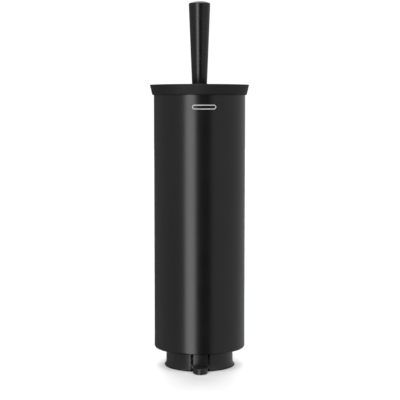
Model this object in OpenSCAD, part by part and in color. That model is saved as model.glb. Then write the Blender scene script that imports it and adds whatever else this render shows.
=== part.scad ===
// Toilet brush holder: a painted steel tube that stands on a narrow plastic foot, an inner bucket,
// and a lidded brush that hangs in it.
// Origin: centre of the foot on the floor. +Z is up, and the release lever faces -Y.

/* [Casing] */
// Outer diameter of the painted tube
casing_d = 94; // [90:1:98]
// Height of the tube's top edge above the floor
casing_top = 280.4; // [260:0.2:300]
// Height of the tube's bottom edge above the floor
casing_bottom = 19.6; // [19:0.2:20.2]
// Sheet thickness of the tube
casing_wall = 0.8; // [0.6:0.1:1]

/* [Foot] */
// Diameter of the foot above its flare
foot_d = 69.2; // [67:0.2:71]
// How far the foot flares out at the floor
foot_flare = 1.3; // [0.6:0.1:2]

/* [Lid] */
// Diameter of the lid's top edge
lid_d = 102; // [101:0.5:106]
// Height of the lid's skirt
lid_h = 10.4; // [8:0.2:11.4]

/* [Handle] */
// Diameter of the handle at the lid
handle_low_d = 15.5; // [14.6:0.1:17]
// Diameter of the handle at its top
handle_top_d = 22; // [20:0.1:24]
// Visible length of the handle, with its cap
handle_len = 85; // [80:0.2:110]

/* [Brush] */
// Diameter over the bristles
head_d = 71; // [64:1:72]
// Height of the bristle head
head_h = 72; // [64:1:80]
// Diameter of the steel stem
stem_d = 8; // [7:0.5:8.5]

/* [Release lever] */
// Width of the lever's front plate
lever_w = 15; // [14:0.2:16.4]
// Gap on each side of the lever
lever_gap = 2; // [1.5:0.1:2.4]
// How far the finger lip stands out from the foot
lip_reach = 17.4; // [14:0.2:18.6]

/* [Badge] */
// Length of the plain badge outline
badge_w = 24; // [16:1:30]
// Height of the plain badge outline
badge_h = 4.6; // [3:0.2:7]
// Angle of the badge from the front, to the right
badge_turn = 4.8; // [-10:0.1:10]

/* [Hidden] */
$fn = 128;
eps = 0.01;

// Radii, from the tube inwards
casing_r = casing_d / 2;
bore_r = casing_r - casing_wall;
hem_r = bore_r - 0.5;              // inner radius of the tube's folded bottom edge
ring_out = bore_r - 0.05;          // outer radius of the two plastic rings in the tube
ring_in = bore_r - 3;
deck_r = hem_r - 0.3;              // the deck passes through the tube's bottom edge
spigot_out = ring_in - 0.3;
spigot_in = spigot_out - 1.7;
bucket_r = spigot_in - 0.2;
bucket_in = bucket_r - 1.7;
well_r = 23.6;                     // drip well, which reaches down inside the foot
well_in = well_r - 1.7;
foot_r = foot_d / 2;
foot_in = foot_r - 2.8;
sole_r = foot_r + foot_flare + 0.5;

// Heights
floor_gap = 1;                     // the plastic foot stops above the floor, and the ring touches it
ring_top = floor_gap + 1.2;        // top of the ring in the foot's groove
flare_h = 5.5;
deck_z = 21.2;                     // underside of the deck
deck_top = deck_z + 2.8;
spigot_top = deck_top + 12;
well_z = 3;
cone_low = 26.5;                   // outer cone of the bucket's floor, from the well to the wall
cone_high = 41;
bucket_top = casing_top - 7.9;
rim_z = casing_top + 1;            // top face of the rim ring, which carries the lid
lid_z = rim_z - 0.8;               // lower edge of the lid's skirt
lid_top = lid_z + lid_h;
lid_under = lid_top - 2.6;
handle_top = lid_top + handle_len;
cap_z = handle_top - 3;
stem_shoulder = lid_under - 8;

// Lever: a rocker on a pin. The lip swings out and the hook swings in.
pin_y = -28.2;
pin_z = 12.5;
pin_r = 1.25;
lever_bore_r = 1.3;
boss_r = 3;
lip_x = lever_w / 2 + 0.2;
slot_x = lever_w / 2 + lever_gap;
ear_x = slot_x + 0.2;              // inner face of the ears that hold the pin
ear_w = 2.9;
plate_low = ring_top + 0.4;        // the lever passes over the ring
plate_top = 20;
arm_x = 4.6;
hook_z = 26.8;
hook_h = 2.6;
hook_reach = ring_in + 1.8;
window_x = arm_x + 1;
spring_z = 18.2;
seat_y = -25.4;                    // front face of the spring's seat on the base

// Brush head
head_low = 46;
core_r = 11;
core_low = head_low + 16;
core_top = head_low + head_h + 6;
head_r = head_d / 2;
stem_r = stem_d / 2;
thread_r = 3;
thread_len = 15;

// Screws that hold the bucket on the base
screw_ring = 37.6;
screw_angles = [90, 210, 330];
screw_r = 1.5;

// Points of an arc, for polygons
function arc(cx, cy, r, a0, a1, n = 8) =
    [for (i = [0:n]) [cx + r * cos(a0 + (a1 - a0) * i / n), cy + r * sin(a0 + (a1 - a0) * i / n)]];

// A concave flare from radius r + out at height z0 to radius r at height z0 + h
function flare(r, out, z0, h, n = 8) =
    let (rho = (h * h + out * out) / (2 * out))
    [for (i = [0:n]) let (z = h * i / n) [r + rho - sqrt(rho * rho - pow(h - z, 2)), z0 + z]];

// Height of the bucket's outer cone at radius r
function cone_z(r) = cone_low + (r - well_r) * (cone_high - cone_low) / (bucket_r - 1.6 - well_r);

module turned(points) {
    rotate_extrude() polygon(points);
}

// A ring sector between two radii, limited to half width x on the front side
module front_sector(r_in, r_out, x, z0, z1) {
    intersection() {
        difference() {
            translate([0, 0, z0]) cylinder(r = r_out, h = z1 - z0);
            translate([0, 0, z0 - 1]) cylinder(r = r_in, h = z1 - z0 + 2);
        }
        translate([-x, -r_out - 1, z0 - 1]) cube([2 * x, r_out, z1 - z0 + 2]);
    }
}

// ---- Base ----

module base_shell() {
    hole_r = well_r + 0.6;         // the bucket's drip well drops through this hole in the deck
    turned(concat(
        [[foot_in, floor_gap], [foot_in + 0.6, floor_gap], [foot_in + 0.6, ring_top],
         [foot_r + 0.2, ring_top], [foot_r + 0.2, floor_gap]],
        flare(foot_r, foot_flare, floor_gap, flare_h),
        [[foot_r, deck_z], [deck_r - 0.4, deck_z], [deck_r, deck_z + 0.4], [deck_r, deck_top - 0.4],
         [deck_r - 0.4, deck_top], [spigot_out, deck_top], [spigot_out, spigot_top - 0.9],
         [spigot_out - 0.6, spigot_top], [spigot_in, spigot_top], [spigot_in, deck_top],
         [hole_r, deck_top], [hole_r, deck_z], [foot_in, deck_z]]
    ));
}

// One of the two lugs under the deck that the pin snaps up into
module ear(side) {
    width = 6;
    mirror([side < 0 ? 1 : 0, 0, 0])
    translate([ear_x, pin_y, 0]) {
        translate([0, -width / 2, pin_z]) cube([ear_w, width, deck_z - pin_z + eps]);
        translate([0, 0, pin_z]) rotate([0, 90, 0]) cylinder(r = width / 2, h = ear_w);
    }
}

module base() {
    snap_w = 2.1;
    seat_x = 4;
    color("#262626") difference() {
        union() {
            difference() {
                base_shell();
                // slot for the lever through the foot's wall
                translate([-slot_x, -foot_r - 4, -1]) cube([2 * slot_x, 14, deck_z + 1]);
            }
            for (side = [-1, 1]) ear(side);
            // seat that the spring pushes against
            translate([-seat_x, seat_y, 14.5]) cube([2 * seat_x, 1.4, deck_z - 14.5 + eps]);
        }
        // slot for the lever's arm through the deck, whose front edge is the arm's stop,
        // and window for its hook through the spigot
        translate([-window_x, -foot_r + 0.1, deck_z - 1]) cube([2 * window_x, 6.4, 4.8]);
        translate([-window_x, -spigot_out - 1, deck_top]) cube([2 * window_x, 8, 9]);
        // pin bore, open below so that the pin snaps in
        translate([-ear_x - ear_w - 0.5, pin_y, pin_z]) rotate([0, 90, 0])
            cylinder(r = pin_r, h = 2 * (ear_x + ear_w) + 1);
        for (side = [-1, 1])
            translate([side > 0 ? ear_x - 1 : -ear_x - ear_w - 1, pin_y - snap_w / 2, pin_z - boss_r - 2])
                cube([ear_w + 2, snap_w, boss_r + 2]);
        for (a = screw_angles) rotate([0, 0, a]) translate([screw_ring, 0, deck_z - 1])
            cylinder(r = screw_r + 0.2, h = 5);
    }
}

// Rubber ring in the foot's groove, with a thin sole that stands out round the foot
module non_slip_ring() {
    r0 = foot_in + 0.7;
    r1 = foot_r + 0.1;
    color("#1c1c1c") turned([
        [r0, 0.3], [r0 + 0.3, 0], [sole_r - 0.3, 0], [sole_r, 0.3], [sole_r, floor_gap],
        [r1, floor_gap], [r1, ring_top], [r0, ring_top]
    ]);
}

module inner_bucket() {
    skirt_z = deck_top;
    skirt_in = bucket_r - 1.6;
    flange_r = ring_in - 0.8;
    color("#303030") difference() {
        union() {
            turned(concat(
                [[0, well_z], [well_r - 1.4, well_z]],
                arc(well_r - 1.4, well_z + 1.4, 1.4, -90, 0, 5),
                [[well_r, cone_low], [skirt_in, cone_high], [skirt_in, skirt_z], [bucket_r, skirt_z],
                 [bucket_r, bucket_top - 2.4], [flange_r, bucket_top - 1.8]],
                arc(flange_r - 0.5, bucket_top - 0.5, 0.5, 0, 90, 4),
                arc(bucket_in + 0.8, bucket_top - 0.8, 0.8, 90, 180, 4),
                [[bucket_in, cone_z(bucket_in) + 2.4], [well_in, cone_z(well_in) + 2.4]],
                arc(well_in - 1.2, well_z + 2.9, 1.2, 0, -90, 4),
                [[0, well_z + 1.7]]
            ));
            for (a = screw_angles) rotate([0, 0, a]) translate([screw_ring, 0, skirt_z + 0.4])
                cylinder(r = 2.6, h = 14.2);
        }
        for (a = screw_angles) rotate([0, 0, a]) translate([screw_ring, 0, skirt_z - 1])
            cylinder(r = screw_r, h = 9.4);
        // window for the lever's hook
        translate([-window_x, -bucket_r - 1, skirt_z - 1]) cube([2 * window_x, 5, 11]);
    }
}

module base_screws() {
    head_h = 1.5;
    color("#b8b8b8")
    for (a = screw_angles) rotate([0, 0, a]) translate([screw_ring, 0, 0]) difference() {
        union() {
            translate([0, 0, deck_z - head_h]) cylinder(r1 = 2, r2 = 2.5, h = head_h);
            translate([0, 0, deck_z - eps]) cylinder(r = screw_r, h = 9.8);
            translate([0, 0, deck_z + 9.7]) cylinder(r1 = screw_r, r2 = 0.3, h = 1);
        }
        for (turn = [0, 90]) rotate([0, 0, turn])
            translate([-1.4, -0.25, deck_z - head_h - 1]) cube([2.8, 0.5, 1.8]);
    }
}

module lever_pin() {
    color("#c0c0c0") translate([-ear_x - ear_w, pin_y, pin_z]) rotate([0, 90, 0])
        cylinder(r = pin_r, h = 2 * (ear_x + ear_w));
}

// Compression spring along Y, from the back of the lever's plate to the seat. Each turn is two
// half rings, tilted opposite ways so that their ends meet.
module lever_spring() {
    wire_r = 0.25;
    coil_r = 2;
    turns = 5;
    y0 = -foot_r + 2.8 + wire_r + 0.1;
    y1 = seat_y - wire_r - 0.05;
    step = (y1 - y0) / (2 * turns);
    tilt = asin(step / (2 * coil_r));
    color("#c8c8c8") for (i = [0:2 * turns - 1]) {
        side = i % 2 == 0 ? 1 : -1;
        translate([0, y0 + (i + 0.5) * step, spring_z]) rotate([-90, 0, 0]) rotate([0, -side * tilt, 0])
            rotate([0, 0, side > 0 ? 0 : 180]) rotate_extrude(angle = 180) translate([coil_r, 0])
                circle(r = wire_r, $fn = 24);
    }
}

// ---- Release lever ----

// Plan outline of the finger lip: a rounded tongue in front of the plate
function lip_outline(n = 20) = concat(
    [[lip_x, -foot_r + 3.4]],
    [for (i = [0:n]) let (a = 180 * i / n)
        [lip_x * cos(a), -foot_r + 0.9 - (lip_reach + 0.9) * pow(sin(a), 0.5)]],
    [[-lip_x, -foot_r + 3.4]]
);

// Finger lip, with a shallow dish in its top, cut away below where it passes over the ring
module lip() {
    low = 0.6;
    high = 6.2;
    dish_r = 24;
    dish_depth = 0.8;
    difference() {
        translate([0, 0, low]) linear_extrude(high - low) polygon(lip_outline());
        translate([0, -foot_r - lip_reach / 2, high + dish_r - dish_depth]) sphere(r = dish_r);
        cylinder(r = sole_r + 0.6, h = plate_low);
    }
}

module release_lever() {
    color("#262626") difference() {
        union() {
            lip();
            front_sector(foot_r - 2.4, foot_r, lever_w / 2, plate_low, plate_top);
            // block and bearing bosses round the pin
            translate([-lever_w / 2, -foot_r + 2, pin_z - boss_r])
                cube([lever_w, pin_y + foot_r - 2, 2 * boss_r]);
            translate([-ear_x + 0.3, pin_y, pin_z]) rotate([0, 90, 0])
                cylinder(r = boss_r, h = 2 * ear_x - 0.6);
            // arm through the deck, and hook
            translate([-arm_x, -foot_r + 0.4, plate_top - 3])
                cube([2 * arm_x, 2.4, hook_z + hook_h - plate_top + 3]);
            translate([arm_x, 0, hook_z]) rotate([0, -90, 0])
                linear_extrude(2 * arm_x) polygon([
                    [0, -foot_r + 1], [hook_h, -foot_r + 1], [hook_h, -hook_reach + 1.8],
                    [hook_h - 1.6, -hook_reach], [0, -hook_reach]
                ]);
            // peg that centres the spring
            translate([0, -foot_r + 2, spring_z]) rotate([-90, 0, 0]) cylinder(r = 1, h = 2.2);
        }
        translate([-20, pin_y, pin_z]) rotate([0, 90, 0]) cylinder(r = lever_bore_r, h = 40);
    }
}

// ---- Casing ----

module casing_tube() {
    color("#2a2a2a") turned(concat(
        arc(casing_r - 1, casing_bottom + 1, 1, -90, 0, 5),
        [[casing_r, casing_top - 0.2], [casing_r - 0.2, casing_top], [bore_r, casing_top],
         [bore_r, casing_bottom + 2.6], [hem_r, casing_bottom + 2]],
        arc(hem_r + 0.2, casing_bottom + 0.2, 0.2, 180, 270, 3)
    ));
}

// Ring that rests on the deck and holds the lever's hook in a pocket
module latch_ring() {
    z0 = deck_top + 0.2;
    color("#2c2c2c") difference() {
        turned([[ring_in + 0.6, z0], [ring_out, z0], [ring_out, z0 + 10], [ring_in + 0.6, z0 + 10],
                [ring_in, z0 + 9.4], [ring_in, z0 + 0.6]]);
        translate([-arm_x - 1.6, -ring_out - 1, z0 + 2]) cube([2 * arm_x + 3.2, 6, 6.8]);
    }
}

// Ring in the tube's mouth that the lid rests on
module rim_ring() {
    color("#262626") turned([
        [ring_in, casing_top - 11], [ring_in + 1, casing_top - 12], [ring_out, casing_top - 12],
        [ring_out, casing_top], [casing_r - 0.1, casing_top], [casing_r - 0.1, rim_z - 0.3],
        [casing_r - 0.4, rim_z], [ring_in + 0.5, rim_z], [ring_in, rim_z - 0.5]
    ]);
}

// A flat outline of a long rounded bar, from circles and a rectangle
module pill(w, h) {
    square([w - h, h], center = true);
    for (side = [-1, 1]) translate([side * (w - h) / 2, 0]) circle(d = h, $fn = 32);
}

// Plain raised outline on the front of the tube
module badge() {
    line = 0.8;
    thick = 0.25;
    z = casing_top - 12.2;
    color("#a8a8a8") rotate([0, 0, badge_turn]) intersection() {
        translate([0, 0, z - badge_h]) difference() {
            cylinder(r = casing_r + thick, h = 2 * badge_h);
            translate([0, 0, -1]) cylinder(r = casing_r, h = 2 * badge_h + 2);
        }
        translate([0, 0, z]) rotate([90, 0, 0]) linear_extrude(casing_r + 2) difference() {
            pill(badge_w, badge_h);
            pill(badge_w - 2 * line, badge_h - 2 * line);
        }
    }
}

// ---- Brush ----

module lid() {
    seat_z = rim_z + 3.1;          // underside of the lid above the seal
    skirt_r = casing_r + 1.5;
    guide_out = ring_in - 0.6;
    guide_low = casing_top - 4.9;
    color("#242424") turned(concat(
        [[thread_r + 0.1, stem_shoulder + 0.8], [9, stem_shoulder + 0.8], [9.6, lid_under],
         [guide_out - 2.2, lid_under], [guide_out - 2, guide_low + 0.5], [guide_out - 1.5, guide_low],
         [guide_out - 0.8, guide_low], [guide_out, guide_low + 0.8], [guide_out, seat_z],
         [casing_r - 0.4, seat_z], [casing_r + 0.3, lid_z + 0.4]],
        arc(skirt_r - 0.5, lid_z + 0.5, 0.5, -120, 0, 4),
        arc(lid_d / 2 - 0.4, lid_top - 0.4, 0.4, 0, 90, 4),
        [[thread_r + 0.1, lid_top]]
    ));
}

module lid_seal() {
    z0 = rim_z + 0.2;
    color("#1a1a1a") turned([
        [ring_in + 0.3, z0 + 0.3], [ring_in + 0.6, z0], [casing_r - 0.8, z0], [casing_r - 0.5, z0 + 0.3],
        [casing_r - 0.5, rim_z + 3.1], [ring_in + 0.3, rim_z + 3.1]
    ]);
}

module handle() {
    socket_top = lid_top + 18.2;
    wall = 2.6;
    slope = (handle_top_d - handle_low_d) / 2 / (cap_z - lid_top);
    hollow_low = socket_top + 3;
    color("#262626") turned([
        [thread_r + 0.3, lid_top], [handle_low_d / 2, lid_top], [handle_top_d / 2, cap_z],
        [handle_top_d / 2 - wall, cap_z],
        [handle_low_d / 2 + slope * (hollow_low - lid_top) - wall, hollow_low],
        [0, hollow_low], [0, socket_top], [4.9, socket_top], [4.9, lid_top + 2], [thread_r + 0.3, lid_top + 2]
    ]);
}

module handle_cap() {
    r = handle_top_d / 2;
    plug_r = r - 2.7;
    dome_h = handle_top - cap_z - 0.8;
    color("#2a2a2a") turned(concat(
        [[0, cap_z - 6], [plug_r - 0.6, cap_z - 6], [plug_r, cap_z], [r - 0.4, cap_z],
         [r - 0.4, cap_z + 0.3], [r, cap_z + 0.4]],
        arc(r - 0.4, cap_z + 0.45, 0.4, 0, 60, 4),
        [for (i = [1:10]) let (t = 1 - i / 10) [(r - 0.2) * t, handle_top - dome_h * pow(t, 2.5)]]
    ));
}

module handle_insert() {
    z0 = lid_top + 2;
    color("#b89850") difference() {
        union() {
            translate([0, 0, z0]) cylinder(r = 4.9, h = 5.5);
            translate([0, 0, z0 + 5]) cylinder(r = 4.3, h = 3);
            translate([0, 0, z0 + 7.5]) cylinder(r = 4.9, h = 8);
        }
        translate([0, 0, z0 - 1]) cylinder(r = thread_r, h = 20);
    }
}

module stem() {
    head_shoulder = core_top - 6;
    color("#c0c0c0") turned([
        [0, head_shoulder - thread_len + 0.6], [thread_r - 0.6, head_shoulder - thread_len + 0.6],
        [thread_r, head_shoulder - thread_len + 1.2], [thread_r, head_shoulder], [stem_r, head_shoulder],
        [stem_r, stem_shoulder], [thread_r, stem_shoulder], [thread_r, lid_top + 14.4],
        [thread_r - 0.6, lid_top + 15], [0, lid_top + 15]
    ]);
}

module lid_washer() {
    color("#c8c8c8") difference() {
        translate([0, 0, stem_shoulder]) cylinder(r = 7, h = 0.8);
        translate([0, 0, stem_shoulder - 1]) cylinder(r = thread_r + 0.1, h = 3);
    }
}

module brush_core() {
    shoulder = core_top - 6;
    color("#202020") turned(concat(
        arc(0, core_low + core_r, core_r, -90, 0, 10),
        [[core_r, core_top - 12], [9, shoulder], [7, core_top - 0.6], [6.4, core_top], [stem_r + 0.05, core_top],
         [stem_r + 0.05, shoulder], [thread_r, shoulder], [thread_r, shoulder - thread_len],
         [0, shoulder - thread_len - 1]]
    ));
}

// Plain closed solid of the space that the tufts fill
module bristles() {
    top = head_low + head_h;
    bottom_r = 22;
    color("#3a3a3a") turned(concat(
        [[0, head_low]],
        arc(head_r - bottom_r, head_low + bottom_r, bottom_r, -90, 0, 10),
        [[head_r, top - 6]],
        arc(head_r - 6, top - 6, 6, 0, 80, 4),
        [[core_r, core_top - 12]],
        arc(0, core_low + core_r, core_r, 0, -90, 10)
    ));
}

base();
non_slip_ring();
inner_bucket();
base_screws();
lever_pin();
lever_spring();
release_lever();
casing_tube();
latch_ring();
rim_ring();
badge();
lid();
lid_seal();
handle();
handle_cap();
handle_insert();
stem();
lid_washer();
brush_core();
bristles();
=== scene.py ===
import math
import random

import bmesh
import bpy
from mathutils import Matrix, Vector


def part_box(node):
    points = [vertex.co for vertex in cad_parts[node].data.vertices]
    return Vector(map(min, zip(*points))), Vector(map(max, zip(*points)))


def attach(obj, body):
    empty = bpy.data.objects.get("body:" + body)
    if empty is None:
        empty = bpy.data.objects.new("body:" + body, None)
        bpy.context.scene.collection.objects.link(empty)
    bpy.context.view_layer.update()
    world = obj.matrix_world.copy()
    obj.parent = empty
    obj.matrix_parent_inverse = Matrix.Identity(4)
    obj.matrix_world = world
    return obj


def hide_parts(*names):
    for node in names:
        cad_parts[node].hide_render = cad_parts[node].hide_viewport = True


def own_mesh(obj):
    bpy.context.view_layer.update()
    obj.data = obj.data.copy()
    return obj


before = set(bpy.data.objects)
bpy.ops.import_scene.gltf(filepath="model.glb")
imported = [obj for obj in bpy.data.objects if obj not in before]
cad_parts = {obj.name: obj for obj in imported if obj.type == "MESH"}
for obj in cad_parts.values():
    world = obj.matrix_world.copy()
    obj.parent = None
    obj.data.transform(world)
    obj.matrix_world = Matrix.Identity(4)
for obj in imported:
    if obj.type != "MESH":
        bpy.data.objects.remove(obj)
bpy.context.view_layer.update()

MM = 0.001
FINE_STEPS = 320                    # steps round the casing and the lid
TURN_STEPS = 240                    # steps round the other large turned pieces
ROD_STEPS = 96                      # steps round the stem and the brush's core
BORE_STEPS = 32                     # steps round a screw hole or a peg


# ---- Sizes, in millimetres ----

def node_size(node, digits=1):
    """(half the width in X, lowest Z, highest Z) of a CAD node."""
    low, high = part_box(node)
    return tuple(round(v, digits) for v in ((high.x - low.x) / 2 / MM, low.z / MM, high.z / MM))


# casing
_, CASING_LOW, CASING_TOP = node_size("casing_tube")
_, _, RIM_TOP = node_size("rim_ring")
CASING_R = 47.0
BORE_R = CASING_R - 0.8
HEM_R = BORE_R - 0.5                # inside the tube's folded lower edge
RING_OUT = BORE_R - 0.05            # the latch ring and the rim ring sit in the tube
RING_IN = BORE_R - 3.0

# base
SOLE_R, _, RING_TOP = node_size("non_slip_ring")
_, _, SPIGOT_TOP = node_size("base")
_, _, BUCKET_TOP = node_size("inner_bucket")
FOOT_R = 34.6
FOOT_IN = FOOT_R - 2.8
FOOT_LOW = 1.0                      # the plastic foot stands on its rubber ring
DECK_Z, DECK_TOP = 21.2, 24.0       # the deck's two faces
DECK_JOIN = DECK_Z + 0.3            # what hangs under the deck runs this far into it
DECK_R = HEM_R - 0.3
SPIGOT_OUT = RING_IN - 0.3
SPIGOT_IN = SPIGOT_OUT - 1.7
BUCKET_R = SPIGOT_IN - 0.2
WELL_R = 23.6                       # the bucket's drip well
SCREW_RING = 37.6

# release lever, a rocker on a pin
LEVER_HALF = 7.5                    # half the width of its plate
LIP_HALF = LEVER_HALF + 0.2         # half the width of its finger lip
LIP_REACH = 17.4                    # how far the lip stands out from the foot
SLOT_HALF = LEVER_HALF + 2.0        # half the width of its slot in the foot
PIN_Y, PIN_Z, PIN_R = -28.2, 12.5, 1.25
BOSS_R = 3.0
EAR_X = SLOT_HALF + 0.2             # inner face of the ears that hold the pin
EAR_W = 2.9
SPRING_Z = 18.2
ARM_HALF = 4.6
WINDOW_HALF = ARM_HALF + 1          # half the width of the windows that the arm and hook pass

# lid and handle
LID_R, _, LID_TOP = node_size("lid")
LID_LOW = RIM_TOP - 0.8
LID_SEAT = RIM_TOP + 3.1            # underside of the lid above its seal
HANDLE_LOW_R = 7.75
HANDLE_TOP_R, _, CAP_LOW = node_size("handle", 2)
_, _, CAP_TOP = node_size("handle_cap")

# stem and brush head
STEM_R, _, _ = node_size("stem")
_, STEM_SHOULDER, _ = node_size("lid_washer")
THREAD_R, THREAD_LEN = 3.0, 15.0
HEAD_R, HEAD_LOW, HEAD_TOP = node_size("bristles")
CORE_R = 11.0
CORE_LOW, CORE_TOP = HEAD_LOW + 16, HEAD_TOP + 6
CORE_SHOULDER = CORE_TOP - 6


# ---- Meshes ----

def arc(cx, cy, r, a0, a1, n=8):
    return [(cx + r * math.cos(math.radians(a0 + (a1 - a0) * i / n)),
             cy + r * math.sin(math.radians(a0 + (a1 - a0) * i / n))) for i in range(n + 1)]


def rounded(corners, n=5):
    """A closed outline. Each corner is (x, y), or (x, y, radius) to round it."""
    out = []
    count = len(corners)
    for i, c in enumerate(corners):
        p = Vector(c[:2])
        radius = c[2] if len(c) > 2 else 0
        if radius <= 0:
            out.append(tuple(p))
            continue
        a = Vector(corners[i - 1][:2]) - p
        b = Vector(corners[(i + 1) % count][:2]) - p
        half = a.angle(b) / 2
        reach = min(radius / math.tan(half), 0.49 * a.length, 0.49 * b.length)
        radius = reach * math.tan(half)
        centre = p + (a.normalized() + b.normalized()).normalized() * (radius / math.sin(half))
        start = p + a.normalized() * reach - centre
        end = p + b.normalized() * reach - centre
        turn = math.atan2(start.x * end.y - start.y * end.x, start.dot(end))
        for k in range(n + 1):
            t = turn * k / n
            out.append((centre.x + start.x * math.cos(t) - start.y * math.sin(t),
                        centre.y + start.x * math.sin(t) + start.y * math.cos(t)))
    return out


def turned(outline, steps=TURN_STEPS):
    """A closed outline of (radius, height) points, turned about Z."""
    bm = bmesh.new()
    rings = []
    for r, z in outline:
        if r < 1e-6:
            rings.append([bm.verts.new((0, 0, z * MM))])
        else:
            rings.append([bm.verts.new((r * MM * math.sin(2 * math.pi * k / steps),
                                        -r * MM * math.cos(2 * math.pi * k / steps), z * MM))
                          for k in range(steps)])
    for a, b in zip(rings, rings[1:] + rings[:1]):
        for k in range(steps):
            n = (k + 1) % steps
            corners = [a[k % len(a)], a[n % len(a)], b[n % len(b)], b[k % len(b)]]
            corners = list(dict.fromkeys(corners))
            if len(corners) > 2:
                bm.faces.new(corners)
    bmesh.ops.recalc_face_normals(bm, faces=bm.faces)
    return bm


def peg(r, low, high):
    """A plain upright peg, or the tool that cuts a round hole."""
    return turned([(0, low), (r, low), (r, high), (0, high)], BORE_STEPS)


def prism(outline, low, high):
    """A closed outline of (x, y) points, extruded from height low to high."""
    bm = bmesh.new()
    lower = [bm.verts.new((x * MM, y * MM, low * MM)) for x, y in outline]
    upper = [bm.verts.new((x * MM, y * MM, high * MM)) for x, y in outline]
    bm.faces.new(lower[::-1])
    bm.faces.new(upper)
    for i in range(len(outline)):
        n = (i + 1) % len(outline)
        bm.faces.new((lower[i], lower[n], upper[n], upper[i]))
    bmesh.ops.recalc_face_normals(bm, faces=bm.faces)
    return bm


def block(x0, x1, y0, y1, z0, z1):
    return prism([(x0, y0), (x1, y0), (x1, y1), (x0, y1)], z0, z1)


def along_x(outline, x0, x1):
    """A closed outline of (y, z) points, extruded from x0 to x1."""
    bm = prism(outline, x0, x1)
    bm.transform(Matrix(((0, 0, 1, 0), (1, 0, 0, 0), (0, 1, 0, 0), (0, 0, 0, 1))))
    return bm


def skin(bm, rows, closed=False):
    """Joins each ring of vertices to the next, and the last to the first if closed. Otherwise it caps
    both ends."""
    following = rows[1:] + rows[:1] if closed else rows[1:]
    for a, b in zip(rows, following):
        for k in range(len(a)):
            n = (k + 1) % len(a)
            bm.faces.new((a[k], a[n], b[n], b[k]))
    if not closed:
        bm.faces.new(rows[0][::-1])
        bm.faces.new(rows[-1])


def bevel_all(bm, width, segments=3, angle=30):
    edges = [e for e in bm.edges if e.calc_face_angle(0) > math.radians(angle)]
    bmesh.ops.bevel(bm, geom=edges, offset=width * MM, segments=segments, profile=0.5,
                    affect="EDGES", clamp_overlap=True)
    return bm


def mesh_object(name, *parts):
    """One object from one or more bmeshes, which are freed."""
    whole = bmesh.new()
    for bm in parts:
        part = bpy.data.meshes.new("part")
        bm.to_mesh(part)
        bm.free()
        whole.from_mesh(part)
        bpy.data.meshes.remove(part)
    mesh = bpy.data.meshes.new(name)
    whole.to_mesh(mesh)
    whole.free()
    obj = bpy.data.objects.new(name, mesh)
    bpy.context.scene.collection.objects.link(obj)
    return obj


def settle(obj):
    """Applies the object's modifiers to its mesh."""
    graph = bpy.context.evaluated_depsgraph_get()
    mesh = bpy.data.meshes.new_from_object(obj.evaluated_get(graph))
    obj.modifiers.clear()
    obj.data = mesh


def combine(obj, *steps):
    """Booleans in order: each step is (operation, bmesh)."""
    for operation, bm in steps:
        tool = mesh_object("tool", bm)
        mod = obj.modifiers.new("boolean", "BOOLEAN")
        mod.operation, mod.solver, mod.object = operation, "EXACT", tool
        settle(obj)
        bpy.data.objects.remove(tool)


def shade(obj, angle):
    """Smooth shading, with edges sharper than angle kept crisp."""
    bm = bmesh.new()
    bm.from_mesh(obj.data)
    bmesh.ops.remove_doubles(bm, verts=bm.verts, dist=1e-7)
    for f in bm.faces:
        f.smooth = True
    for e in bm.edges:
        e.smooth = e.calc_face_angle(0) < math.radians(angle)
    bm.to_mesh(obj.data)
    bm.free()


def piece(obj, body, node, material, angle=32):
    """Finishes a piece: shading, material, body, and the CAD node it stands for."""
    shade(obj, angle)
    obj.data.materials.clear()
    obj.data.materials.append(material)
    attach(obj, body)
    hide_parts(node)


# ---- Materials ----

def link(tree, a, a_out, b, b_in):
    tree.links.new(a.outputs[a_out], b.inputs[b_in])


def tone(colour, scale=1.0, lift=0.0):
    """A colour made brighter or darker, with alpha."""
    return (*[min(1, c * scale + lift) for c in colour], 1)


def grey(value):
    return tone((value, value, value))


def maths(tree, operation, *inputs):
    """A Math node. Each input is a number, or the (node, output) that feeds it."""
    node = tree.nodes.new("ShaderNodeMath")
    node.operation = operation
    for i, value in enumerate(inputs):
        if isinstance(value, tuple):
            link(tree, *value, node, i)
        else:
            node.inputs[i].default_value = value
    return node


def noise(tree, coords, size, detail=3.0, stretch=(1, 1, 1)):
    """A noise texture whose grain is about size millimetres across."""
    mapping = tree.nodes.new("ShaderNodeMapping")
    mapping.inputs["Scale"].default_value = stretch
    link(tree, coords, "Object", mapping, "Vector")
    n = tree.nodes.new("ShaderNodeTexNoise")
    n.inputs["Scale"].default_value = 1 / (size * MM)
    n.inputs["Detail"].default_value = detail
    link(tree, mapping, "Vector", n, "Vector")
    return n


def ranged(tree, source, output, low, high, from_low=0.3, from_high=0.7):
    m = tree.nodes.new("ShaderNodeMapRange")
    m.inputs["From Min"].default_value, m.inputs["From Max"].default_value = from_low, from_high
    m.inputs["To Min"].default_value, m.inputs["To Max"].default_value = low, high
    link(tree, source, output, m, "Value")
    return m


def bumps(tree, height, distance):
    """A Bump node on a noise texture, distance millimetres high."""
    node = tree.nodes.new("ShaderNodeBump")
    node.inputs["Distance"].default_value = distance * MM
    link(tree, height, "Fac", node, "Height")
    return node


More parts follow.
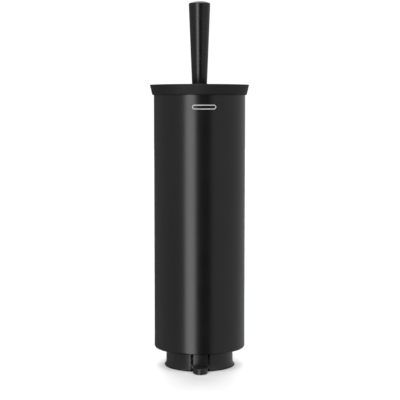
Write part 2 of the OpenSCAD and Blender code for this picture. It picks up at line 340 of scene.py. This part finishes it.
def surface(name, colour, roughness, grain, bump, spread=0.04, metallic=0.0, wear=0.0,
            stretch=(1, 1, 1), patches=14.0, tint=0.25, second_grain=None, **sockets):
    """A procedural surface: a grain of bumps, patches of slightly different colour and gloss, and
    worn edges. grain is the bumps' size and bump their height, and patches the patches' size, in mm."""
    mat = bpy.data.materials.new(name)
    mat.use_nodes = True
    tree = mat.node_tree
    shader = tree.nodes["Principled BSDF"]
    shader.inputs["Metallic"].default_value = metallic
    for key, value in sockets.items():
        shader.inputs[key.replace("_", " ")].default_value = value
    coords = tree.nodes.new("ShaderNodeTexCoord")
    patch = noise(tree, coords, patches, 4.0, stretch)
    fine = noise(tree, coords, grain, 2.0, stretch)

    # colour: darker and lighter patches, then a paler tone along worn edges
    mix = tree.nodes.new("ShaderNodeMix")
    mix.data_type = "RGBA"
    mix.inputs["A"].default_value = tone(colour, 1 - tint)
    mix.inputs["B"].default_value = tone(colour, 1 + tint)
    link(tree, patch, "Fac", mix, "Factor")
    if wear:
        geometry = tree.nodes.new("ShaderNodeNewGeometry")
        edges = ranged(tree, geometry, "Pointiness", 0.0, wear, 0.52, 0.62)
        worn = tree.nodes.new("ShaderNodeMix")
        worn.data_type = "RGBA"
        worn.inputs["B"].default_value = tone(colour, 2.2, 0.01)
        link(tree, edges, "Result", worn, "Factor")
        link(tree, mix, "Result", worn, "A")
        mix = worn
    link(tree, mix, "Result", shader, "Base Color")

    # gloss varies with the patches and with the grain
    broad_gloss = ranged(tree, patch, "Fac", roughness - spread, roughness + spread)
    fine_gloss = ranged(tree, fine, "Fac", -spread / 2, spread / 2)
    gloss = maths(tree, "ADD", (broad_gloss, "Result"), (fine_gloss, "Result"))
    link(tree, gloss, "Value", shader, "Roughness")

    raised = bumps(tree, fine, bump)
    if second_grain:
        size, height = second_grain
        broad = bumps(tree, noise(tree, coords, size, 1.0, stretch), height)
        link(tree, broad, "Normal", raised, "Normal")
    link(tree, raised, "Normal", shader, "Normal")
    return mat


POWDER_COAT = surface(
    "powder_coat", (0.0042, 0.0042, 0.0044), roughness=0.24, grain=0.35, bump=0.0016, spread=0.02,
    wear=0.5, patches=30, second_grain=(2.2, 0.0012))
LID_PLASTIC = surface(
    "lid_plastic", (0.0042, 0.0042, 0.0045), roughness=0.64, grain=0.3, bump=0.012,
    wear=0.35, patches=9, tint=0.12, Specular_IOR_Level=0.4)
FOOT_PLASTIC = surface(
    "foot_plastic", (0.0095, 0.0095, 0.0098), roughness=0.31, grain=0.28, bump=0.004,
    wear=0.35, Specular_IOR_Level=0.42)
HANDLE_PLASTIC = surface(
    "handle_plastic", (0.0042, 0.0042, 0.0044), roughness=0.24, grain=0.25, bump=0.002, spread=0.03,
    wear=0.3, patches=20)
BUCKET_PLASTIC = surface(
    "bucket_plastic", (0.035, 0.035, 0.037), roughness=0.36, grain=0.5, bump=0.003, spread=0.06,
    wear=0.25, stretch=(1, 1, 0.25), patches=24)
RUBBER = surface(
    "rubber", (0.003, 0.003, 0.003), roughness=0.78, grain=0.22, bump=0.02, spread=0.08,
    Specular_IOR_Level=0.12)
STEEL = surface(
    "steel", (0.56, 0.56, 0.555), roughness=0.28, grain=0.12, bump=0.0012, spread=0.06,
    metallic=1.0, stretch=(1, 1, 0.03), patches=8, tint=0.08)
FASTENER_STEEL = surface(
    "fastener_steel", (0.5, 0.5, 0.49), roughness=0.36, grain=0.15, bump=0.002, spread=0.08,
    metallic=1.0, patches=3, tint=0.12, wear=0.3)
BRASS = surface(
    "brass", (0.72, 0.53, 0.24), roughness=0.34, grain=0.2, bump=0.003, spread=0.08,
    metallic=1.0, patches=4, tint=0.1)
NYLON = surface(
    "nylon", (0.03, 0.03, 0.031), roughness=0.38, grain=0.4, bump=0.004, spread=0.08,
    patches=5, tint=0.5)
PRINT = surface(
    "print", (0.42, 0.42, 0.42), roughness=0.45, grain=0.2, bump=0.003, spread=0.05,
    patches=6, tint=0.1)


# ---- Casing ----

def make_casing():
    # the tube's lower edge is rolled in, taller than it is deep
    hem_w, hem_h, steps = 1.1, 2.0, 12
    hem = [(CASING_R - hem_w * (1 - math.cos(t)), CASING_LOW + hem_h * (1 - math.sin(t)))
           for t in (math.pi / 2 * (1 - i / steps) for i in range(steps + 1))]
    tube = mesh_object("casing_tube_detailed", turned(rounded(hem + [
        (CASING_R, CASING_TOP, 0.2), (BORE_R, CASING_TOP, 0.1), (BORE_R, CASING_LOW + 2.6, 0.6),
        (HEM_R, CASING_LOW + 2.0, 0.4), (HEM_R, CASING_LOW, 0.2)]), FINE_STEPS))
    piece(tube, "casing", "casing_tube", POWDER_COAT)

    rim_low, rim_r = CASING_TOP - 12, CASING_R - 0.1
    rim = mesh_object("rim_ring_detailed", turned(rounded([
        (RING_IN, rim_low, 0.9), (RING_OUT, rim_low, 0.3), (RING_OUT, CASING_TOP),
        (rim_r, CASING_TOP, 0.1), (rim_r, RIM_TOP, 0.35), (RING_IN, RIM_TOP, 0.5)])))
    piece(rim, "casing", "rim_ring", FOOT_PLASTIC)

    low = DECK_TOP + 0.2
    high = low + 10
    latch = mesh_object("latch_ring_detailed", turned(rounded([
        (RING_IN, low, 0.6), (RING_OUT, low, 0.15), (RING_OUT, high, 0.15), (RING_IN, high, 0.6)])))
    pocket_half = ARM_HALF + 1.6
    pocket = block(-pocket_half, pocket_half, -BORE_R - 1, -BORE_R + 5, low + 2, low + 8.8)
    combine(latch, ("DIFFERENCE", bevel_all(pocket, 0.5)))
    piece(latch, "casing", "latch_ring", BUCKET_PLASTIC)


def pill_path(width, height, straight_steps=24, end_steps=20):
    """Points round a long shape with round ends."""
    straight, r = width / 2, height / 2
    path = [(-straight + 2 * straight * i / straight_steps, -r) for i in range(straight_steps + 1)]
    path += arc(straight, 0, r, -90, 90, end_steps)[1:]
    path += [(straight - 2 * straight * i / straight_steps, r) for i in range(1, straight_steps + 1)]
    return path + arc(-straight, 0, r, 90, 270, end_steps)[1:-1]


def make_badge():
    """A plain raised outline: a small rounded section that runs round a long pill shape on the tube."""
    low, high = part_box("badge")
    width, height = 24.0, (high.z - low.z) / MM
    turn = math.atan2((low.x + high.x) / 2, -low.y)
    mid = (low.z + high.z) / 2 / MM
    line, thick, sunk, edge = 0.8, 0.25, -0.03, 0.12
    shoulder = thick * 0.6
    section = [(-line / 2, sunk), (-line / 2, shoulder), (-line / 2 + edge, thick),
               (line / 2 - edge, thick), (line / 2, shoulder), (line / 2, sunk)]
    path = pill_path(width - height, height - line)
    bm = bmesh.new()
    rows = []
    for i, p in enumerate(path):
        ahead, behind = Vector(path[(i + 1) % len(path)]), Vector(path[i - 1])
        along = (ahead - behind).normalized()
        side = Vector((along.y, -along.x))
        row = []
        for offset, up in section:
            u, v = p[0] + side.x * offset, p[1] + side.y * offset
            r = (CASING_R + up) * MM
            a = turn + math.asin(u / CASING_R)
            row.append(bm.verts.new((r * math.sin(a), -r * math.cos(a), (mid + v) * MM)))
        rows.append(row)
    skin(bm, rows, closed=True)
    bmesh.ops.recalc_face_normals(bm, faces=bm.faces)
    piece(mesh_object("badge_outline", bm), "casing", "badge", PRINT, 50)


# ---- Base ----

def flare(radius, out, low, height, n=10):
    """A concave flare from radius + out at height low up to radius."""
    rho = (height ** 2 + out ** 2) / (2 * out)
    return [(radius + rho - math.sqrt(rho ** 2 - (height * (1 - i / n)) ** 2), low + height * i / n)
            for i in range(n + 1)]


def base_outline():
    """Section of the foot, the deck and the spigot."""
    groove_in, groove_out = FOOT_IN + 0.6, FOOT_R + 0.2     # the rubber ring sits in this groove
    hole_r = WELL_R + 0.6                                   # the drip well drops through the deck
    return rounded([
        (FOOT_IN, FOOT_LOW, 0.2), (groove_in, FOOT_LOW), (groove_in, RING_TOP), (groove_out, RING_TOP),
        (groove_out, FOOT_LOW), *flare(FOOT_R, 1.3, FOOT_LOW, 5.5),
        (FOOT_R, DECK_Z, 0.5), (DECK_R, DECK_Z, 0.5), (DECK_R, DECK_TOP, 0.5), (SPIGOT_OUT, DECK_TOP, 0.3),
        (SPIGOT_OUT, SPIGOT_TOP, 0.8), (SPIGOT_IN, SPIGOT_TOP, 0.3), (SPIGOT_IN, DECK_TOP, 0.3),
        (hole_r, DECK_TOP, 0.3), (hole_r, DECK_Z, 0.3), (FOOT_IN, DECK_Z, 1.0)])


def lever_slot():
    """The lever's slot in the foot, with rounded outer edges."""
    edge = 0.5
    y_edge = -math.sqrt(FOOT_R ** 2 - SLOT_HALF ** 2)
    right = [(SLOT_HALF, -FOOT_R + 10)]
    right += arc(SLOT_HALF + edge, y_edge + edge, edge, 180, 270, 5)
    right += [(SLOT_HALF + edge, -FOOT_R - 5.4)]
    return prism([(-x, y) for x, y in right] + right[::-1], -1, DECK_Z)


def ear_parts(side):
    """One of the two lugs that hold the pin, and the cut that leaves its bore open below."""
    outline = [(PIN_Y + BOSS_R, DECK_JOIN), (PIN_Y + BOSS_R, PIN_Z)]
    outline += arc(PIN_Y, PIN_Z, BOSS_R, 0, -180, 20)
    outline += [(PIN_Y - BOSS_R, DECK_JOIN)]
    ear = along_x(outline, *sorted((side * EAR_X, side * (EAR_X + EAR_W))))
    snap = 1.05
    x0, x1 = sorted((side * (EAR_X - 1), side * (EAR_X + EAR_W + 1)))
    return ear, block(x0, x1, PIN_Y - snap, PIN_Y + snap, PIN_Z - BOSS_R - 2, PIN_Z)


def make_base():
    base = mesh_object("base_detailed", turned(base_outline()))
    combine(base, ("DIFFERENCE", lever_slot()))

    ears, snaps = zip(*(ear_parts(side) for side in (-1, 1)))
    seat_half, seat_y, seat_low = 4, -25.4, 14.5
    spring_seat = block(-seat_half, seat_half, seat_y, seat_y + 1.4, seat_low, DECK_JOIN)
    combine(base, *[("UNION", part) for part in (*ears, spring_seat)])

    window = (-WINDOW_HALF, WINDOW_HALF)
    pin_end = EAR_X + EAR_W + 0.5
    cuts = [block(*window, -FOOT_R + 0.1, -FOOT_R + 6.5, DECK_Z - 1, DECK_TOP + 1),
            block(*window, -SPIGOT_OUT - 1.1, -SPIGOT_OUT + 6.9, DECK_TOP, DECK_TOP + 9),
            along_x(arc(PIN_Y, PIN_Z, PIN_R, 0, 345, 23), -pin_end, pin_end), *snaps]
    screw_hole_r, screw_angles = 1.7, (90, 210, 330)
    for angle in screw_angles:
        x, y = SCREW_RING * math.cos(math.radians(angle)), SCREW_RING * math.sin(math.radians(angle))
        hole = peg(screw_hole_r, DECK_Z - 1, DECK_TOP + 1)
        hole.transform(Matrix.Translation((x * MM, y * MM, 0)))
        cuts.append(hole)
    combine(base, *[("DIFFERENCE", c) for c in cuts])
    piece(base, "base", "base", FOOT_PLASTIC)


def make_non_slip_ring():
    """A rubber ring with a thin sole that stands out round the foot, and a fine groove underneath."""
    r0, r1 = FOOT_R - 2.1, FOOT_R + 0.1
    ring = mesh_object("non_slip_ring_detailed", turned(rounded([
        (r0, 0, 0.35), (r0, RING_TOP, 0.1), (r1, RING_TOP, 0.1), (r1, FOOT_LOW),
        (SOLE_R, FOOT_LOW, 0.35), (SOLE_R, 0, 0.35),
        (r1 - 0.7, 0), (r1 - 0.85, 0.25), (r1 - 1.35, 0.25), (r1 - 1.5, 0)])))
    piece(ring, "base", "non_slip_ring", RUBBER)


def make_bucket():
    """A bucket whose cone-shaped floor drains into a well. A skirt below carries it on the deck."""
    floor = 1.7
    inner, well_in = BUCKET_R - floor, WELL_R - floor
    well_low, skirt_in = 3.0, BUCKET_R - 1.6
    cone_low, cone_high = 26.5, 41.0                # the cone from below
    cone_in_low, cone_in_high = 27.34, 43.3         # and from inside
    lip_r, lip_low = RING_IN - 0.8, BUCKET_TOP - 1.8
    bucket = mesh_object("inner_bucket_detailed", turned(rounded([
        (0, well_low), (WELL_R, well_low, 1.4), (WELL_R, cone_low, 1.0), (skirt_in, cone_high),
        (skirt_in, DECK_TOP, 0.2), (BUCKET_R, DECK_TOP, 0.4), (BUCKET_R, lip_low - 0.6, 0.5),
        (lip_r, lip_low, 0.4), (lip_r, BUCKET_TOP, 0.5), (inner, BUCKET_TOP, 0.9),
        (inner, cone_in_high, 3.0), (well_in, cone_in_low, 2.0), (well_in, well_low + floor, 1.4),
        (0, well_low + floor)])))
    window = block(-WINDOW_HALF, WINDOW_HALF, -BUCKET_R - 1, -BUCKET_R + 4, DECK_TOP - 1, DECK_TOP + 10)
    combine(bucket, ("DIFFERENCE", bevel_all(window, 0.6)))
    piece(bucket, "base", "inner_bucket", BUCKET_PLASTIC)


def make_spring():
    """A compression spring along Y with closed end turns."""
    low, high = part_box("lever_spring")
    wire = 0.25 * MM
    coil = (high.x - low.x) / 2 - wire
    z = (low.z + high.z) / 2
    y0, y1 = low.y + wire, high.y - wire
    turns, end_turns, per_turn, sides = 6.5, 0.75, 28, 10
    end_pitch = 2.2 * wire
    count = int(turns * per_turn)
    bm = bmesh.new()
    rows = []
    for i in range(count + 1):
        t = i / count * turns
        rise = max(0.0, min(1.0, (t - end_turns) / (turns - 2 * end_turns)))
        y = y0 + end_pitch * min(t, end_turns) + (y1 - y0 - 2 * end_turns * end_pitch) * rise \
            + end_pitch * max(0.0, t - (turns - end_turns))
        a = 2 * math.pi * t
        centre = Vector((coil * math.cos(a), y, z + coil * math.sin(a)))
        out = Vector((math.cos(a), 0, math.sin(a)))
        rows.append([bm.verts.new(centre + wire * (math.cos(b) * out + math.sin(b) * Vector((0, 1, 0))))
                     for b in (2 * math.pi * k / sides for k in range(sides))])
    skin(bm, rows)
    bmesh.ops.recalc_face_normals(bm, faces=bm.faces)
    spring = mesh_object("lever_spring_wire", bm)
    piece(spring, "base", "lever_spring", FASTENER_STEEL, 60)
    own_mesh(spring)


# ---- Release lever ----

def lip_outline(half, reach, n=28):
    """Plan of the finger lip: straight sides that close in a rounded front."""
    out = [(half, -FOOT_R + 3.4)]
    for i in range(n + 1):
        a = math.pi * i / n
        out.append((half * math.cos(a), -FOOT_R + 0.9 - (reach + 0.9) * math.sin(a) ** 0.5))
    return out + [(-half, -FOOT_R + 3.4)]


def sector(r_in, r_out, half, n=16):
    """Plan of a ring sector at the front, out to half on both sides."""
    xs = [-half + 2 * half * i / n for i in range(n + 1)]
    return [(x, -math.sqrt(r_out ** 2 - x ** 2)) for x in xs] \
        + [(x, -math.sqrt(r_in ** 2 - x ** 2)) for x in reversed(xs)]


def lip_dish(lip_top, radius=24.0, depth=0.8):
    """The tool that hollows the lip's top: part of a ball, kept clear of the lever's plate."""
    ball = bmesh.new()
    bmesh.ops.create_uvsphere(ball, u_segments=96, v_segments=64, radius=radius * MM)
    ball.transform(Matrix.Translation((0, (-FOOT_R - LIP_REACH / 2) * MM, (lip_top + radius - depth) * MM)))
    tool = mesh_object("dish", ball)
    combine(tool, ("INTERSECT", block(-30, 30, -70, -FOOT_R - 0.4, 0, 12)))
    dish = bmesh.new()
    dish.from_mesh(tool.data)
    bpy.data.objects.remove(tool)
    return dish


def make_lever():
    lip_low, lip_top = 0.6, 6.2
    plate_low, plate_top = RING_TOP + 0.4, 20
    body_half = LEVER_HALF - 0.1
    hook_y, hook_z, hook_h = -RING_IN - 1.8, 26.8, 2.6
    hook_top = hook_z + hook_h
    lip = bevel_all(prism(lip_outline(LIP_HALF, LIP_REACH), lip_low, lip_top), 0.5, 4)
    plate = bevel_all(prism(sector(FOOT_R - 2.4, FOOT_R, LEVER_HALF), plate_low, plate_top), 0.6, 3)
    body = block(-body_half, body_half, -FOOT_R + 2, PIN_Y, PIN_Z - BOSS_R, PIN_Z + BOSS_R)
    boss = along_x(arc(PIN_Y, PIN_Z, BOSS_R, 0, 352.5, 47), -EAR_X + 0.3, EAR_X - 0.3)
    arm = block(-ARM_HALF, ARM_HALF, -FOOT_R + 0.4, -FOOT_R + 2.8, plate_top - 3, hook_top)
    hook = along_x([(-FOOT_R + 1, hook_z), (-FOOT_R + 1, hook_top), (hook_y + 1.8, hook_top),
                    (hook_y, hook_z + 1), (hook_y, hook_z)], -ARM_HALF, ARM_HALF)
    spring_peg = peg(1, 0, 2.2)
    spring_peg.transform(Matrix.Translation((0, (-FOOT_R + 2) * MM, SPRING_Z * MM))
                         @ Matrix.Rotation(math.radians(-90), 4, "X"))
    lever = mesh_object("release_lever_detailed", lip, plate, body, boss, arm, hook, spring_peg)

    # one skin over all of it, with soft inner corners
    remesh = lever.modifiers.new("remesh", "REMESH")
    remesh.mode, remesh.voxel_size = "VOXEL", 0.2 * MM
    settle(lever)
    soften = lever.modifiers.new("soften", "SMOOTH")
    soften.factor, soften.iterations = 0.5, 6
    settle(lever)

    over_r = SOLE_R + 0.6
    over_ring = turned([(0, -1), (over_r, -1), (over_r, plate_low), (0, plate_low)])
    bore = along_x(arc(PIN_Y, PIN_Z, PIN_R + 0.05, 0, 352.5, 47), -20, 20)
    combine(lever, *[("DIFFERENCE", cut) for cut in (lip_dish(lip_top), over_ring, bore)])
    piece(lever, "release_lever", "release_lever", FOOT_PLASTIC, 40)


# ---- Brush ----

def make_lid():
    under, boss = LID_TOP - 2.6, STEM_SHOULDER + 0.8
    skirt = CASING_R + 1.5
    guide, guide_low = RING_IN - 0.6, CASING_TOP - 4.9
    hole_r = THREAD_R + 0.1
    lid = mesh_object("lid_detailed", turned(rounded([
        (hole_r, boss), (9.0, boss, 0.4), (9.6, under, 0.8), (guide - 2.2, under, 0.8),
        (guide - 2.0, guide_low, 0.6), (guide, guide_low, 0.8), (guide, LID_SEAT, 0.2),
        (CASING_R - 0.4, LID_SEAT, 0.2), (CASING_R + 0.3, LID_LOW, 0.4), (skirt, LID_LOW, 0.5),
        (LID_R, LID_TOP, 0.35), (hole_r, LID_TOP)]), FINE_STEPS))
    piece(lid, "brush", "lid", LID_PLASTIC)

    # two soft ribs, and a web between them
    low, web = RIM_TOP + 0.2, RIM_TOP + 0.5
    seal_in, seal_out = RING_IN + 0.3, CASING_R - 0.5
    seal = mesh_object("lid_seal_detailed", turned(rounded([
        (seal_in, low, 0.3), (seal_in + 0.8, low, 0.2), (seal_in + 1.0, web, 0.2),
        (seal_out - 1.0, web, 0.2), (seal_out - 0.8, low, 0.2), (seal_out, low, 0.3),
        (seal_out, LID_SEAT, 0.1), (seal_in, LID_SEAT, 0.1)])))
    piece(seal, "brush", "lid_seal", RUBBER)


def make_handle():
    """A tapered handle: a socket for the threaded insert, and a hollow above it."""
    socket_r, socket_low, socket_top = 4.9, LID_TOP + 2, LID_TOP + 18.2
    hollow, wall = socket_top + 3, 2.6
    hole_r = THREAD_R + 0.4
    slope = (HANDLE_TOP_R - HANDLE_LOW_R) / (CAP_LOW - LID_TOP)
    hollow_r = HANDLE_LOW_R + slope * (hollow - LID_TOP) - wall
    handle = mesh_object("handle_detailed", turned(rounded([
        (hole_r, LID_TOP), (HANDLE_LOW_R, LID_TOP, 0.25), (HANDLE_TOP_R, CAP_LOW, 0.25),
        (HANDLE_TOP_R - wall, CAP_LOW, 0.2), (hollow_r, hollow, 1.0), (0, hollow), (0, socket_top),
        (socket_r, socket_top), (socket_r, socket_low), (hole_r, socket_low)])))
    piece(handle, "brush", "handle", HANDLE_PLASTIC)


def make_handle_cap():
    """A domed cap with a plug below, and a fine groove where it meets the handle."""
    r, plug, plug_low = HANDLE_TOP_R, HANDLE_TOP_R - 2.7, CAP_LOW - 6
    rise = CAP_TOP - CAP_LOW - 0.8
    dome = [((r - 0.2) * t, CAP_TOP - rise * t ** 2.5) for t in (1 - i / 20 for i in range(1, 21))]
    cap = mesh_object("handle_cap_detailed", turned(
        [(0, plug_low), (plug - 0.6, plug_low), (plug, CAP_LOW), (r - 0.4, CAP_LOW),
         (r - 0.4, CAP_LOW + 0.3), (r - 0.08, CAP_LOW + 0.36)]
        + arc(r - 0.4, CAP_LOW + 0.45, 0.4, 0, 60, 6) + dome))
    piece(cap, "brush", "handle_cap", HANDLE_PLASTIC)


def make_stem():
    low, high = CORE_SHOULDER - THREAD_LEN, LID_TOP + 15
    stem = mesh_object("stem_detailed", turned(rounded([
        (0, low + 0.6), (THREAD_R, low + 0.6, 0.6), (THREAD_R, CORE_SHOULDER),
        (STEM_R, CORE_SHOULDER, 0.3), (STEM_R, STEM_SHOULDER, 0.3), (THREAD_R, STEM_SHOULDER),
        (THREAD_R, high, 0.6), (0, high)]), ROD_STEPS))
    piece(stem, "brush", "stem", STEEL)

    bore_r = STEM_R + 0.05
    core = mesh_object("brush_core_detailed", turned(rounded(
        arc(0, CORE_LOW + CORE_R, CORE_R, -90, 0, 16)
        + [(CORE_R, CORE_TOP - 12, 1.5), (9, CORE_SHOULDER, 1.0), (7, CORE_TOP, 0.8),
           (bore_r, CORE_TOP, 0.2), (bore_r, CORE_SHOULDER), (THREAD_R, CORE_SHOULDER), (THREAD_R, low),
           (0, low - 1)]), ROD_STEPS))
    piece(core, "brush", "brush_core", BUCKET_PLASTIC)


def inside_head(p):
    """True if a point, in mm, lies in the space that the tufts fill."""
    r, z = math.hypot(p.x, p.y), p.z
    if r > HEAD_R or z > HEAD_TOP or z < HEAD_LOW:
        return False
    low_r, high_r = 22.0, 6.0           # the space's lower and upper edges are rounded
    if z < HEAD_LOW + low_r and r > HEAD_R - low_r:
        return math.hypot(r - (HEAD_R - low_r), z - (HEAD_LOW + low_r)) <= low_r
    if z > HEAD_TOP - high_r and r > HEAD_R - high_r:
        return math.hypot(r - (HEAD_R - high_r), z - (HEAD_TOP - high_r)) <= high_r
    return True


def tuft_roots():
    """(root, direction) of each tuft: staggered rows round the core, then rings round its lower end."""
    ball_z = CORE_LOW + CORE_R
    first, last = ball_z + 2.5, HEAD_TOP - 9
    rows, around = 8, 19
    for row in range(rows):
        z = first + (last - first) * row / (rows - 1)
        lift = math.radians(-6 + 16 * row / (rows - 1))
        for k in range(around):
            a = 2 * math.pi * (k + 0.5 * (row % 2)) / around
            out = Vector((math.cos(a) * math.cos(lift), math.sin(a) * math.cos(lift), math.sin(lift)))
            yield Vector((CORE_R * math.cos(a), CORE_R * math.sin(a), z)), out
    for polar, count in ((0, 1), (19, 6), (38, 11), (57, 15), (76, 18)):
        for k in range(count):
            a = 2 * math.pi * (k + 0.25 * (count % 3)) / count
            s, c = math.sin(math.radians(polar)), math.cos(math.radians(polar))
            out = Vector((s * math.cos(a), s * math.sin(a), -c))
            yield Vector((0, 0, ball_z)) + out * CORE_R, out


def make_bristles():
    """Tufts of thin filaments. Each leans and bends a little, and ends where it would leave the head."""
    rng = random.Random(7)
    bm = bmesh.new()
    filaments, sides, joints = 38, 3, 4
    sunk, step = 0.6, 0.5               # depth of a root in the core, and step of the search for a length
    for root, out in tuft_roots():
        across = out.cross(Vector((0, 0, 1)) if abs(out.z) < 0.9 else Vector((1, 0, 0))).normalized()
        up = out.cross(across)
        lean = across * rng.uniform(-0.05, 0.05) + up * rng.uniform(-0.05, 0.05)
        for _ in range(filaments):
            q, a = math.sqrt(rng.random()), rng.uniform(0, 2 * math.pi)
            offset = across * math.cos(a) * q + up * math.sin(a) * q
            start = root + offset - out * sunk
            heading = (out + lean + offset * rng.uniform(0.04, 0.13)
                       + Vector([rng.uniform(-0.03, 0.03) for _ in range(3)])).normalized()
            bend = Vector([rng.uniform(-0.9, 0.9) for _ in range(3)])
            length = 8.0
            while inside_head(start + heading * (length + step)) and length < 60:
                length += step
            length -= rng.uniform(0.0, 1.3)
            radius = rng.uniform(0.15, 0.2)
            rows = []
            for j in range(joints + 1):
                t = j / joints
                centre = start + heading * length * t + bend * (t * (1 - t)) * 2
                width = radius * (1 - 0.35 * t ** 3)
                rows.append([bm.verts.new((centre + (across * math.cos(b) + up * math.sin(b)) * width) * MM)
                             for b in (a + 2 * math.pi * k / sides for k in range(sides))])
            skin(bm, rows)
    bmesh.ops.recalc_face_normals(bm, faces=bm.faces)
    piece(mesh_object("bristle_tufts", bm), "brush", "bristles", NYLON, 70)


# ---- CAD nodes that stay ----

def dress_cad_nodes():
    """The small hidden pieces keep their CAD shape, with a fine bevel and a metal surface."""
    for node, material in (("base_screws", FASTENER_STEEL), ("lever_pin", FASTENER_STEEL),
                           ("lid_washer", FASTENER_STEEL), ("handle_insert", BRASS)):
        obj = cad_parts[node]
        obj.data.materials.clear()
        obj.data.materials.append(material)
        bevel = obj.modifiers.new("edge", "BEVEL")
        bevel.width, bevel.segments, bevel.limit_method = 0.1 * MM, 2, "ANGLE"
        bevel.angle_limit = math.radians(50)


# ---- Stage, light and camera ----

def make_floor():
    bm = bmesh.new()
    bmesh.ops.create_grid(bm, x_segments=8, y_segments=8, size=6.0)
    floor = mesh_object("floor", bm)
    floor.data.materials.append(surface(
        "pale_floor", (0.9, 0.9, 0.9), roughness=0.7, grain=3.0, bump=0.01, spread=0.05,
        patches=300, tint=0.01))
    # the object mirrors the studio's walls alone, as on a small table
    floor.visible_glossy = False


# The studio's walls, which show only in reflections: (degrees from the front towards +X, brightness).
# A bright panel stands at the front left with a black one beside it, and another bright one behind.
WALLS = (
    (-180, 1.6), (-171, 1.6), (-167, 0.12), (-150, 0.13), (-125, 0.28), (-96, 0.38), (-40, 0.42),
    (-33, 3.7), (-14, 3.7), (-9, 0.02), (24, 0.02), (32, 0.5), (120, 0.52), (166, 0.42), (174, 0.3),
    (180, 1.6))
CEILING = 1.7
BRIGHTEST = 4.0                     # a ramp's colours end at 1, so brightness is scaled by this


def wall_colours(tree, split):
    """The walls' brightness by direction, then the ceiling above them."""
    back = maths(tree, "MULTIPLY", (split, "Y"), -1)
    angle = maths(tree, "ARCTAN2", (split, "X"), (back, "Value"))
    ramp = tree.nodes.new("ShaderNodeValToRGB")
    link(tree, ranged(tree, angle, "Value", 0, 1, -math.pi, math.pi), "Result", ramp, "Fac")
    stops = ramp.color_ramp.elements
    while len(stops) < len(WALLS):
        stops.new(0.5)
    for stop, (degrees, light) in zip(stops, WALLS):
        stop.position = (degrees + 180) / 360
        stop.color = grey(light / BRIGHTEST)
    ceiling = tree.nodes.new("ShaderNodeMix")
    ceiling.data_type = "RGBA"
    ceiling.inputs["B"].default_value = grey(CEILING / BRIGHTEST)
    link(tree, ranged(tree, split, "Z", 0.0, 1.0, 0.4, 0.7), "Result", ceiling, "Factor")
    link(tree, ramp, "Color", ceiling, "A")
    return ceiling


def make_studio():
    world = bpy.data.worlds.new("studio")
    bpy.context.scene.world = world
    world.use_nodes = True
    world.cycles_visibility.diffuse = False
    tree = world.node_tree
    tree.nodes.clear()
    coords = tree.nodes.new("ShaderNodeTexCoord")
    split = tree.nodes.new("ShaderNodeSeparateXYZ")
    link(tree, coords, "Generated", split, "Vector")

    # dark where a shiny surface would mirror the ground beneath the object
    ground = ranged(tree, split, "Z", 0.0, 1.0, -0.92, -0.68)
    strength = maths(tree, "MULTIPLY", (ground, "Result"), BRIGHTEST)
    walls = tree.nodes.new("ShaderNodeBackground")
    link(tree, wall_colours(tree, split), "Result", walls, "Color")
    link(tree, strength, "Value", walls, "Strength")

    # a plain white backdrop is what the camera sees
    backdrop = tree.nodes.new("ShaderNodeBackground")
    backdrop.inputs["Color"].default_value = grey(1)
    backdrop.inputs["Strength"].default_value = 1.05
    path = tree.nodes.new("ShaderNodeLightPath")
    mix = tree.nodes.new("ShaderNodeMixShader")
    link(tree, path, "Is Camera Ray", mix, 0)
    link(tree, walls, "Background", mix, 1)
    link(tree, backdrop, "Background", mix, 2)
    out = tree.nodes.new("ShaderNodeOutputWorld")
    link(tree, mix, "Shader", out, "Surface")


def make_lamps():
    """Two broad soft lights, with their height and their direction from the front in degrees."""
    for name, strength, height, towards in (("front", 3.6, 45, 0), ("back", 4.8, 25, 180)):
        light = bpy.data.lights.new(name, "SUN")
        light.energy, light.angle = strength, math.radians(75)
        lamp = bpy.data.objects.new(name, light)
        lamp.rotation_euler = (math.radians(90 - height), 0, math.radians(towards))
        lamp.visible_glossy = False
        bpy.context.scene.collection.objects.link(lamp)


def make_camera():
    """A long lens near the height of the casing's top, slightly left of the front. Lengths in metres."""
    distance, height, right_shift = 1.179, 0.2686, 0.0005
    down, side = math.radians(4.67), math.radians(-1.2)
    data = bpy.data.cameras.new("camera")
    data.sensor_width, data.lens = 36.0, 102.8
    camera = bpy.data.objects.new("camera", data)
    right = Vector((math.cos(side), math.sin(side), 0))
    back = Vector((math.sin(side), -math.cos(side), 0))
    camera.location = back * distance + Vector((0, 0, height)) + right * right_shift
    camera.rotation_euler = (math.pi / 2 - down, 0, side)
    bpy.context.scene.collection.objects.link(camera)
    bpy.context.scene.camera = camera


make_camera()
make_floor()
make_studio()
make_lamps()
make_casing()
make_badge()
make_base()
make_non_slip_ring()
make_bucket()
make_spring()
make_lever()
make_lid()
make_handle()
make_handle_cap()
make_stem()
make_bristles()
dress_cad_nodes()
bpy.context.scene.view_settings.view_transform = "Standard"
